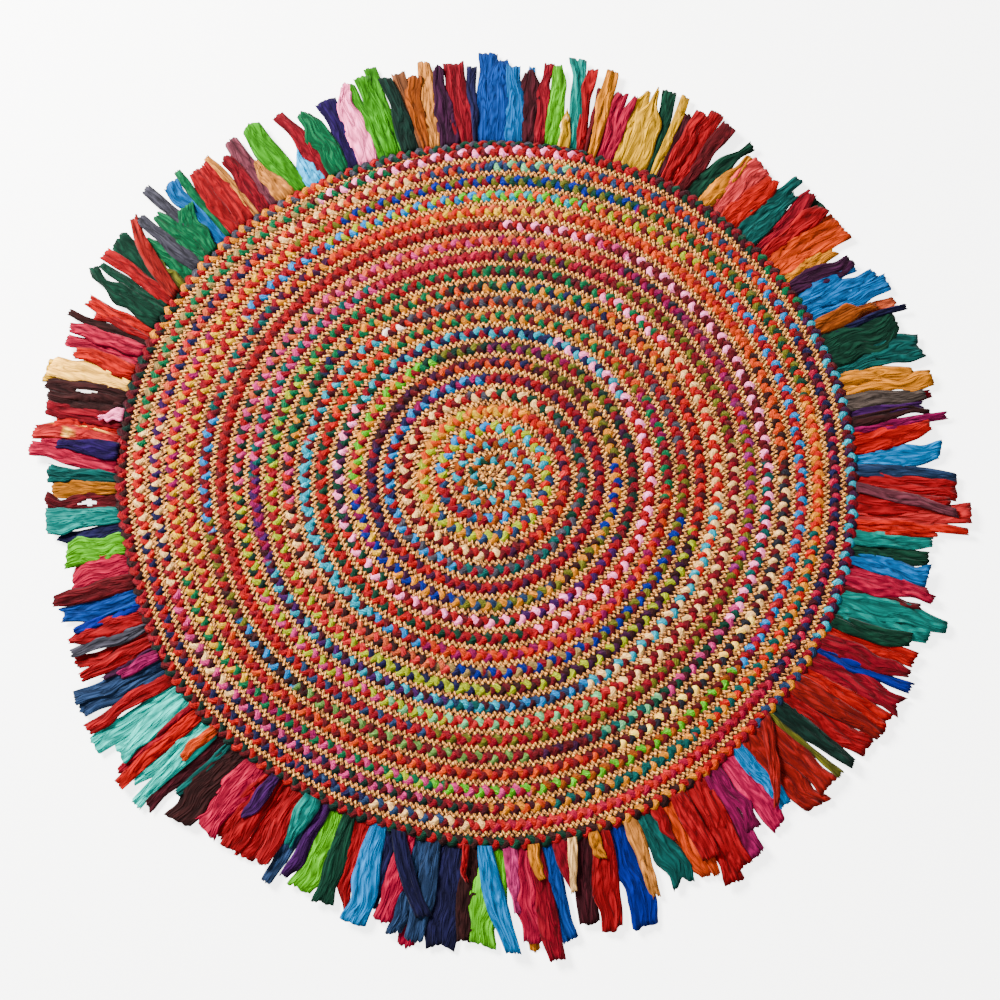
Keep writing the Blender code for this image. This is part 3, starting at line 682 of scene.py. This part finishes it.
def twisted_yarns(tree, place, waver):
    """From -1 in the grooves to 1 on the yarns that are twisted together in each strand."""
    slant = tree.nodes.new("ShaderNodeVectorMath")
    slant.operation = "DOT_PRODUCT"
    slant.inputs[1].default_value = YARN_SLANT
    tree.links.new(place.outputs["Vector"], slant.inputs[0])
    phase = tree.nodes.new("ShaderNodeMath")
    phase.operation = "MULTIPLY_ADD"
    phase.inputs[1].default_value = YARN_WAVER
    tree.links.new(waver, phase.inputs[0])
    tree.links.new(slant.outputs["Value"], phase.inputs[2])
    wave = tree.nodes.new("ShaderNodeMath")
    wave.operation = "SINE"
    tree.links.new(phase.outputs[0], wave.inputs[0])
    return wave.outputs[0]


def jute_material(group):
    """Jute: straw-coloured fibres that run along each strand, with a painted highlight on top and
    painted brown shade between.
    """
    material, tree, shader = new_material("jute_fibre", 0.75)
    # The "dye" attribute holds the jute tones with painted highlight and shade already in them.
    dye = attribute_node(tree, "dye")
    place = attribute_node(tree, "laid_out")
    fibres = place_threads(tree, group, place, 2400, 180, 0.8, 3.0)["Height"]
    bundles = place_threads(tree, group, place, 500, 200, 0.4, 2.0)["Height"]
    twist = twisted_yarns(tree, place, bundles)
    colour = dye.outputs["Color"]
    # The twist paints shade into the grooves between the yarns, down to 0.12 of the colour; fibres
    # and bundles vary the tone.
    for pattern, spread in (
        (fibres, (0.32, 0.68, 0.5, 1.5)),
        (bundles, (0.35, 0.65, 0.5, 1.5)),
        (twist, (-1.0, 0.3, 0.12, 1.2)),
    ):
        colour = shade_colour(tree, colour, spread_value(tree, pattern, *spread))
    tree.links.new(no_whiter(tree, colour), shader.inputs["Base Color"])
    bump(tree, shader, ((twist, 0.0004, 0.8), (bundles, 0.0012, 0.6), (fibres, 0.0008, 0.8)))
    return material


# ---------------------------------------------------------------- rows of the double spiral
def taper(turns, start, end, final):
    return blend(1.0, final, within(turns, start, end))


def jute_edges(turns):
    """Offsets of the jute's two edges; it thins out where it ends."""
    inner = JUTE_RADIUS - JUTE_WIDTH / 2 + 0 * turns
    return inner, inner + JUTE_WIDTH * taper(turns, JUTE_THINS, JUTE_END, THIN_JUTE_SHARE)


def cotton_edges(turns):
    """Offsets of the cotton's two edges; it moves in where the jute thins, and thins out too."""
    jute_inner, jute_outer = jute_edges(turns)
    inner = np.where(turns > JUTE_END, jute_inner, jute_outer) + SEAM
    return inner, inner + COTTON_WIDTH * taper(turns, COTTON_THINS, COTTON_END, COTTON_END_SHARE)


def wind_cotton(turns, across):
    """Clock radius of a place from -1 to 1 across the cotton row; its first turn is uneven."""
    inner, outer = cotton_edges(turns)
    shift = np.interp(turns, *COTTON_FIRST_SHIFT)
    share = np.interp(turns, *COTTON_FIRST_SHARE)
    offset = (inner + outer) / 2 + shift + across * share * ((outer - inner) / 2 + PRESS)
    return on_plan(turns * 360, spiral_radius(turns, offset), 0.0)


def wind_jute(turns, across):
    """As wind_cotton, for the jute, which starts as a coil a little beside the rug's middle."""
    inner, outer = jute_edges(turns)
    shift = np.interp(turns, *JUTE_FIRST_SHIFT)
    half = ((outer - inner) / 2 + PRESS) * np.interp(turns, *JUTE_FIRST_SHARE)
    row_radius = spiral_radius(turns, (inner + outer) / 2 + shift + across * half)
    coil_radius = np.interp(turns, *COIL_RADIUS) + across * half
    share = smooth(*COIL_LEAVES, turns)
    place = on_plan(turns * 360, blend(coil_radius, row_radius, share), 0.0)
    place[:, :2] += np.array(COIL_MIDDLE) * MM * (1 - share)[:, None]
    return place


# ---------------------------------------------------------------- braids
FULL_WEAVE = 38.0  # nominal length of one full weave of the cotton strands
JUTE_WEAVE = 21.5
Braid = namedtuple(
    "Braid",
    "wind start end unit width height strand_width strand_height sway lift delay sides stations",
)
COTTON = Braid(
    wind=wind_cotton, start=COTTON_START, end=COTTON_END, unit=1.0,
    width=COTTON_WIDTH, height=COTTON_HEIGHT, strand_width=7.2, strand_height=5.4,
    sway=4.0, lift=1.9, delay=-0.45, sides=8, stations=9,
)  # fmt: skip
JUTE = Braid(
    wind=wind_jute, start=COIL_START, end=JUTE_END, unit=JUTE_WEAVE / FULL_WEAVE,
    width=JUTE_WIDTH, height=JUTE_HEIGHT, strand_width=4.4, strand_height=3.7,
    sway=2.6, lift=2.2, delay=0.2, sides=6, stations=7,
)  # fmt: skip
FIRST_WEAVE = 41.5  # the cotton's weave is longer in the rug's middle, and settles further out
LATER_WEAVE = 37.8
WEAVE_SETTLES = 16  # turns
WINDING_STEPS = 16000
RAG_JOINS = 0.006  # how many turns apart the three rags of a stretch are joined on
STRANDS_APART = 0.5  # metres between the patterns of two strands, so that they don't look alike
STRAND_STEP = 10.0  # how far apart the straight strands lie before they are braided
SKIRT = 2.1  # how much wider a strand is squeezed out low down, where rows press together
POINTED = 0.11  # how pointed the strands' swings to the sides are
SWING_REACH = 1.06  # brings a pointed swing back to about the braid's sway
SUNK = 0.1  # how far the strands lie below the middle of the braid's height
LOWEST = 0.15


def straight_strands(name, braid, units):
    """Three straight tubes of radius 1, side by side and as many units long as the braid."""
    bm = bmesh.new()
    for strand in range(3):
        ring = bmesh.ops.create_circle(bm, segments=braid.sides, radius=1)["verts"]
        tube = list(ring)
        for _ in range(braid.stations):
            edges = {edge for vert in ring for edge in vert.link_edges}
            around = [edge for edge in edges if all(vert in ring for vert in edge.verts)]
            grown = bmesh.ops.extrude_edge_only(bm, edges=around)["geom"]
            ring = [part for part in grown if isinstance(part, bmesh.types.BMVert)]
            bmesh.ops.translate(bm, verts=ring, vec=(0, 0, 1 / braid.stations))
            tube += ring
        bmesh.ops.rotate(bm, verts=tube, matrix=Matrix.Rotation(math.radians(90), 3, "Y"))
        bmesh.ops.translate(bm, verts=tube, vec=(0, STRAND_STEP * strand, 0))
    mesh = bpy.data.meshes.new(name)
    bm.to_mesh(mesh)
    bm.free()
    piece = bpy.data.objects.new(name, mesh)
    bpy.context.scene.collection.objects.link(piece)
    repeat = piece.modifiers.new("repeat", "ARRAY")
    repeat.use_relative_offset = False
    repeat.use_constant_offset = True
    repeat.constant_offset_displace = (1, 0, 0)
    repeat.count = units
    repeat.use_merge_vertices = True
    repeat.merge_threshold = 0.001
    straight = applied(piece)
    bm = bmesh.new()
    bm.from_mesh(straight)
    open_edges = [edge for edge in bm.edges if edge.is_boundary]
    bmesh.ops.holes_fill(bm, edges=open_edges, sides=0)
    bmesh.ops.recalc_face_normals(bm, faces=bm.faces)
    bm.to_mesh(straight)
    bm.free()
    return straight


def unit_length(turns):
    """One full weave of the cotton strands; a little longer in the middle of the rug."""
    return blend(FIRST_WEAVE, LATER_WEAVE, smooth(0, WEAVE_SETTLES, turns))


class Winding:
    """Where a braid is after so many units of its weave."""

    def __init__(self, braid):
        self.turns = np.linspace(braid.start, braid.end, WINDING_STEPS)
        line = braid.wind(self.turns, 0 * self.turns)
        steps = np.linalg.norm(np.diff(line, axis=0), axis=1) / MM
        unit = unit_length(self.turns[1:]) * braid.unit
        self.units = np.concatenate(([0.0], np.cumsum(steps / unit)))
        self.count = int(round(self.units[-1]))
        self.units *= self.count / self.units[-1]

    def turns_at(self, units):
        return np.interp(units, self.units, self.turns)


def uneven(rng, places, step, amount):
    """A random waver along the strand, with a new value at every step."""
    count = int(places.max() / step) + 3
    values = rng.normal(0, amount, count)
    return np.interp(places / step, np.arange(count), values)


def cotton_colours(turns, strand, place, depth, rng):
    """Each rag's dye along its strand, with painted shade low down between the strands and a
    painted highlight on their tops; joins between rags don't fall at one place.
    """
    starts = np.array([stretch.row + stretch.clock / 360 for stretch in COTTON_ROWS])
    colours = np.zeros((len(turns), 3))
    for k in range(3):
        dyes = np.array([cloth_colour(DYES[stretch.rags.split()[k]]) for stretch in COTTON_ROWS])
        late = (k - 1) * RAG_JOINS
        chosen = np.searchsorted(starts, turns - late, side="right") - 1
        chosen = np.clip(chosen, 0, len(starts) - 1)
        mine = strand == k
        colours[mine] = dyes[chosen[mine]]
    shade = 1 + uneven(rng, place, 0.5, 0.10) + uneven(rng, place, 0.12, 0.10)
    # Painted shade: the colour falls to 0.05 of the dye low down where strands meet, and tops are
    # painted 1.25 times as bright.
    return colours * (shade * blend(0.05, 1.25, smooth(0.3, 0.84, depth)))[:, None]


def jute_colours(turns, strand, place, depth, rng):
    """Painted highlight of cream to straw where a strand lies on top, and painted shade of dark
    olive brown down in the gaps.
    """
    cream, straw, gap_shade = (cloth_colour(seen) for seen in JUTE_TONES)
    tone_and_crease_shade = uneven(rng, place, 0.5, 0.25) + uneven(rng, place, 0.14, 0.35)
    top = blend(straw, cream, np.clip(smooth(0.7, 0.98, depth) + tone_and_crease_shade, 0, 1)[:, None])
    # Painted shade: near black low down in the gaps between strands; the tops get a painted
    # highlight, 1.12 times the cream to straw.
    return blend(gap_shade, 1.12 * top, smooth(0.57, 0.98, depth)[:, None])


def build_braid(name, braid, winding, first, last, material, colour_of, rng):
    """Weaves straight strands over and under each other, and winds them into the spiral."""
    mesh = straight_strands(name, braid, last - first)
    straight = points_of(mesh)
    strand = np.round(straight[:, 1] / STRAND_STEP)
    around = np.arctan2(straight[:, 1] - strand * STRAND_STEP, straight[:, 2])
    around -= 0.3 * np.sin(around)  # more of the strand's points lie on its upper side
    up = np.cos(around)
    across = np.sin(around) * blend(1.0, SKIRT, within(up, 0.4, -0.2))
    units = straight[:, 0] + first
    turns = winding.turns_at(units)
    place = strand * (winding.count + 4) + units
    phase = 2 * np.pi * (units + strand / 3)
    over = np.sin(2 * phase - braid.delay)
    middle = braid.sway * (np.sin(phase) - POINTED * np.sin(3 * phase)) / SWING_REACH
    half_width = braid.strand_width / 2 * (1 + 0.10 * over + uneven(rng, place, 0.5, 0.05))
    half_height = braid.strand_height / 2 * (1 + 0.10 * over + uneven(rng, place, 0.5, 0.06))
    sideways = middle + half_width * across + uneven(rng, place, 0.5, 0.02 * braid.width)
    lift = braid.lift * over * (1 + uneven(rng, place, 0.5, 0.06))
    height = np.maximum(braid.height / 2 - SUNK + lift + half_height * up, LOWEST)
    points = braid.wind(turns, sideways / (braid.width / 2))
    points[:, 2] = height * MM
    move_points(mesh, points)
    # The "dye" colours take painted shade and highlight from the strand's height, in colour_of.
    add_colours(mesh, "dye", colour_of(turns, strand, place, height / braid.height, rng))
    laid_out = (
        across * braid.strand_width / 2 * MM + strand * STRANDS_APART,
        up * braid.strand_height / 2 * MM,
        units * braid.unit * FULL_WEAVE * MM,
    )
    add_places(mesh, "laid_out", np.stack(laid_out, axis=-1))
    return finish_piece(name, mesh, material)


# ---------------------------------------------------------------- fringe
ACROSS = 12
ALONG = 16
HIGHEST = 17.0  # the folds level off below this height
UNDER = 0.2  # height of the strips that lie flat on the floor under the others
STEP_UP = 1.8  # every other strip lies this much higher, so that its sides cover its neighbours'
CLOTH_THICKNESS = 0.5
FIRST_SEED = 100  # each strip has its own random numbers, so that one can change alone
STRIPS_APART = 0.31  # metres between the patterns of two strips, so that they don't look alike
ROOT_TUCKED = 1.5  # how far a strip's root reaches in past the rim's edge
TIP_CHANCES = (0.45, 0.2, 0.15, 0.2)  # of a slanting, a pointed, a notched and a straight tip
TIP_DEPTHS = (0.05, 0.4)  # shares of the strip's width
TIP_WIDEST = 26  # a wider strip's tip is cut no deeper than that of a strip this wide
JAG_DEPTH = 1.6
FOLD_WIDTHS = (8, 13)
FOLD_DEPTHS = ((0, 0.1, 0.5, 1), (1.6, 3.4, 3.6, 2.4))  # places along a strip, and depths there
CROSSING_DEPTH = 1.8  # of the creases that run across the folds
TIP_CURLS = (1.5, 9.0)
HUMPS = (0.0, 3.0)


def field_edge(clock):
    """Radius of the outermost cotton edge at a clock angle."""
    turns = np.asarray(clock) / 360
    last = turns + np.floor(COTTON_END - turns)
    return spiral_radius(last, cotton_edges(last)[1])


def cut_of_tip(u, width, rng):
    """How far each place across the tip falls short of its furthest point, and its small jags."""
    middle = np.abs(2 * u - 1)
    side = rng.choice((0, 1))
    shapes = (np.abs(side - u), middle, 1 - middle, 0 * u)
    shape = shapes[rng.choice(4, p=TIP_CHANCES)]
    deep = min(width, TIP_WIDEST) * rng.uniform(*TIP_DEPTHS)
    jags = rng.normal(0, 1, 2 * ACROSS + 1)
    return deep * shape + JAG_DEPTH * np.abs(np.interp(u, np.linspace(0, 1, len(jags)), jags))


def lay_strip(u, v, strip, rng):
    """Points, painted shade, blotches and laid-out place of one crumpled strip.

    u goes across the strip from 0 to 1, and v from its root to its tip.
    """
    root = field_edge((strip.root_from + strip.root_to) / 2) - ROOT_TUCKED
    spread = (strip.root_to - strip.root_from + strip.tip_to - strip.tip_from) / 2
    width = math.radians(spread) * (root + strip.reach) / 2
    free = v**0.7
    sides = []
    for root_side, tip_side in ((strip.root_from, strip.tip_from), (strip.root_to, strip.tip_to)):
        sides.append(blend(root_side, tip_side, v**1.1) + wander(rng, v, 6, 0.12) * spread * free)
    sway = wander(rng, v, 4, 0.25) * free
    belly = 1.14 + rng.uniform(0.15, 0.5) * np.sin(np.pi * v**0.8)
    half = (sides[1] - sides[0]) / 2 * belly
    clock = (sides[0] + sides[1]) / 2 + sway + half * (2 * u - 1)
    radius = root + (strip.reach - cut_of_tip(u, width, rng) - root) * v
    folds = max(1.0, width / rng.uniform(*FOLD_WIDTHS))
    fan = folds * (u - 0.5) * blend(1.3, 0.85, v) + wander(rng, v, 6, 0.5)
    crest = np.abs(np.sin(np.pi * (fan + rng.uniform(0, 1))))
    slanting = folds * u + rng.uniform(1.5, 3.5) * rng.choice((-1, 1)) * v + wander(rng, v, 4, 0.4)
    crossing = np.abs(np.sin(np.pi * (slanting + rng.uniform(0, 1))))
    deep = np.interp(v, *FOLD_DEPTHS) * rng.uniform(0.7, 1.3)
    crossing_share = smooth(0.2, 0.7, wander(rng, v, 5, 0.5) + 0.5)
    edge = 1 - (2 * u - 1) ** 4
    relief = deep * crest**0.7 + CROSSING_DEPTH * crossing_share * crossing**0.7
    tilt = rng.uniform(-1.5, 1.5) * (u - 0.5)
    curl = rng.uniform(*TIP_CURLS) * v**2 * blend(0.5, 1.0, np.abs(u - rng.choice((0, 1))))
    hump = rng.uniform(*HUMPS) * np.sin(np.pi * v)
    rise = 1.0 + rng.uniform(0.0, 1.0) + tilt + relief * blend(0.35, 1.0, edge) + curl + hump
    height = strip.height + np.maximum(rise, 0.6) if strip.height >= 0 else UNDER + 0.05 * rise
    height = HIGHEST * np.tanh(height / HIGHEST)
    # Painted shade darkens the fold valleys and creases, and painted highlights brighten the
    # crests.
    shade = 0.34 + 0.62 * crest**0.6 + 0.3 * crossing_share * (crossing**0.6 - 0.5)
    # Painted shadow near the root, where the strip comes out from under the braids.
    shade *= blend(0.55, 1.0, smooth(0, 0.12, v))
    blotch = wander(rng, v, 9, 0.6) * np.sin(np.pi * (1.3 * u + rng.uniform(0, 1)))
    blotch = smooth(0.02, 0.25, blotch) * smooth(0.1, 0.3, v) * smooth(0.95, 0.7, v)
    laid_out = np.stack((u * width * MM, 0 * u, v * (strip.reach - root) * MM), axis=-1)
    return on_plan(clock, radius, height), shade, blotch, laid_out


def tear_slits(bm):
    """Takes the faces of each slit out of the flat strips, which stand two units apart."""
    torn = []
    numbers = {strip.root_to: number for number, strip in enumerate(FRINGE)}
    for slit in SLITS:
        left = 2 * numbers[slit.root_to]
        for face in bm.faces:
            u, v, _ = face.calc_center_median() - Vector((left, 0, 0))
            if abs(u - slit.across) / slit.wide + abs(v - slit.along) / slit.long < 1:
                torn.append(face)
    bmesh.ops.delete(bm, geom=torn, context="FACES")


def build_fringe(material):
    roots = [FIRST_ROOT] + [strip.root_to for strip in FRINGE[:-1]]
    strips = [
        Loose(root, *strip, STEP_UP * (number % 2))
        for number, (root, strip) in enumerate(zip(roots, FRINGE))
    ]
    strips += LOOSE_STRIPS
    bm = bmesh.new()
    for number in range(len(strips)):
        made = bmesh.ops.create_grid(bm, x_segments=ACROSS, y_segments=ALONG, size=0.5)
        bmesh.ops.translate(bm, verts=made["verts"], vec=(0.5 + 2 * number, 0.5, 0))
    tear_slits(bm)
    mesh = bpy.data.meshes.new("rag_fringe_cloth")
    bm.to_mesh(mesh)
    bm.free()
    flat = points_of(mesh)
    owner = np.floor(flat[:, 0] / 2 + 1e-4).astype(int)
    points, colours, laid_out = (np.zeros_like(flat) for _ in range(3))
    for number, strip in enumerate(strips):
        mine = owner == number
        rng = np.random.default_rng(FIRST_SEED + number)
        u = flat[mine, 0] - 2 * number
        points[mine], shade, blotch, laid = lay_strip(u, flat[mine, 1], strip, rng)
        dye = cloth_colour(DYES[strip.dye])
        pale = BLOTCHED.get(strip.root_to)
        if pale:
            dye = blend(dye, cloth_colour(DYES[pale]), blotch[:, None])
        # The strip's painted shade of folds, creases and root goes into its "dye" colours, with a
        # random tone.
        colours[mine] = dye * (shade * rng.uniform(0.92, 1.1))[:, None]
        laid_out[mine] = laid + np.array((number * STRIPS_APART, 0, 0))
    move_points(mesh, points)
    add_colours(mesh, "dye", colours)
    add_places(mesh, "laid_out", laid_out)
    piece = finish_piece("rag_fringe_cloth", mesh, material)
    thick = piece.modifiers.new("thickness", "SOLIDIFY")
    thick.thickness = CLOTH_THICKNESS * MM
    thick.offset = 1.0
    return piece


# ---------------------------------------------------------------- stage
SKY_LEVEL = 0.73
CAMERA_PLACE = (0.0129, -0.4847, 1.7335)  # metres, fitted to the photo's rim and rows
CAMERA_TILT = 14.678  # degrees from straight down


def build_stage():
    bm = bmesh.new()
    bmesh.ops.create_grid(bm, x_segments=1, y_segments=1, size=6)
    mesh = bpy.data.meshes.new("pale_floor")
    bm.to_mesh(mesh)
    bm.free()
    material, _, shader = new_material("pale_floor", 0.9)
    shader.inputs["Base Color"].default_value = (0.95, 0.95, 0.94, 1)
    shader.inputs["Emission Color"].default_value = (1, 1, 0.985, 1)
    shader.inputs["Emission Strength"].default_value = FLOOR_GLOW
    floor = finish_piece("pale_floor", mesh, material)


def add_light(name, place, size, power, colour):
    lamp = bpy.data.lights.new(name, "AREA")
    lamp.shape = "DISK"
    lamp.size = size
    lamp.energy = power
    lamp.color = colour
    light = bpy.data.objects.new(name, lamp)
    light.location = place
    aim = -light.location
    light.rotation_euler = aim.to_track_quat("-Z", "Y").to_euler()
    bpy.context.scene.collection.objects.link(light)


def build_lights():
    add_light("soft_key", place=(-2.5, 1.9, 2.0), size=1.4, power=900, colour=(1.0, 0.99, 0.97))
    add_light("soft_fill", place=(1.8, -1.6, 3.2), size=3.0, power=50, colour=(0.98, 0.99, 1.0))
    world = bpy.data.worlds.new("studio")
    world.use_nodes = True
    sky = world.node_tree.nodes["Background"]
    sky.inputs["Color"].default_value = (1, 1, 1, 1)
    sky.inputs["Strength"].default_value = SKY_LEVEL
    bpy.context.scene.world = world


def build_camera():
    lens = bpy.data.cameras.new("photo_camera")
    lens.lens = 50
    lens.sensor_width = 36
    camera = bpy.data.objects.new("photo_camera", lens)
    camera.location = CAMERA_PLACE
    camera.rotation_euler = (math.radians(CAMERA_TILT), 0, 0)
    bpy.context.scene.collection.objects.link(camera)
    bpy.context.scene.camera = camera


# ---------------------------------------------------------------- the rug
# The cloth's flat widths, in metres. A braid's width is a guess for its three strands' cloth side
# by side.
COTTON_FLAT_WIDTH = 0.044
JUTE_FLAT_WIDTH = 0.023
ZONES = ("inner", "middle", "rim")  # each braid is made in three pieces


def dress(piece, node):
    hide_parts(node)
    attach(piece, "root")


def build_rug():
    threads = thread_group()
    cloth = rag_material("braided_rags", threads, 420, 110, (0.6, 1.5))
    jute = jute_material(threads)
    for braid, node, slot, material, colour_of, flat_width in (
        (COTTON, "cotton_braid", "cotton_rags", cloth, cotton_colours, COTTON_FLAT_WIDTH),
        (JUTE, "jute_braid", "jute", jute, jute_colours, JUTE_FLAT_WIDTH),
    ):
        winding = Winding(braid)
        for k, zone in enumerate(ZONES):
            first, last = (round(winding.count * end / len(ZONES)) for end in (k, k + 1))
            name = slot.split("_")[0] + "_" + zone
            rng = np.random.default_rng(k + 1)
            piece = build_braid(name, braid, winding, first, last, material, colour_of, rng)
            dress(piece, node)
    fringe = build_fringe(rag_material("fringe_rags", threads, 200, 24, (0.55, 1.45)))
    dress(fringe, "rag_fringe")


def main():
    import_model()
    build_camera()
    build_stage()
    build_lights()
    build_rug()


main()
